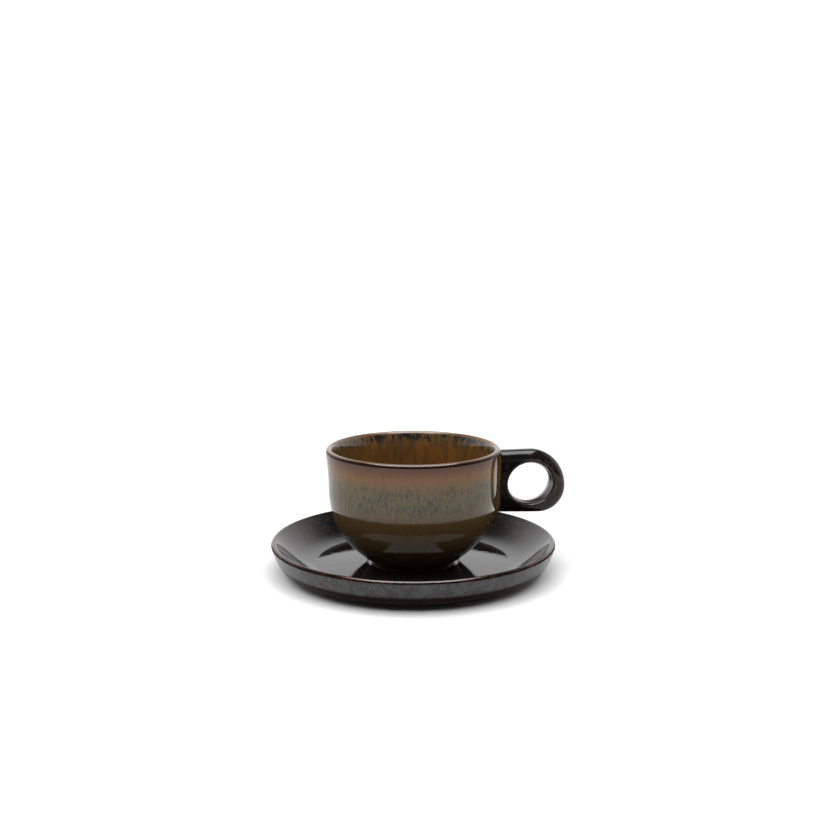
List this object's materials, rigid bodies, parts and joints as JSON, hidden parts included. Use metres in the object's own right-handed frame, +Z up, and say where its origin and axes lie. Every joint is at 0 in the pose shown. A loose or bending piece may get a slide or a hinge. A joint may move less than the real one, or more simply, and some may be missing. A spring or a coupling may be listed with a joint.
{
  "type": "coffee cup with saucer",
  "caption": "Glazed stoneware coffee cup with a bowl body and a ring handle, standing loose in the shallow seat of a round saucer with a low foot ring.",
  "frame": {"origin": "on the common axis of cup and saucer, at the table surface under the saucer's foot ring", "axes": "+Z up along that axis, +X towards the ring handle, so XZ is the plane of symmetry"},
  "size_m": [0.1473, 0.14, 0.0622],
  "materials": {
    "saucer_glaze": "glossy black-brown glaze, mottled grey on the side, reddish brown where it breaks over the rim",
    "cup_glaze": "glossy amber to olive-brown glaze, pink-brown under the lip, blue-green runs half way down the wall",
    "handle_glaze": "glossy black-brown glaze"
  },
  "bodies": {
    "saucer": {"saucer": "saucer_glaze"},
    "cup": {"cup_body": "cup_glaze", "ring_handle": "handle_glaze"}
  },
  "joints": [
    {"name": "cup_lift", "type": "slide", "parent": "saucer", "child": "cup", "axis": [0, 0, 1], "range_m": [0, 0.1]}
  ]
}
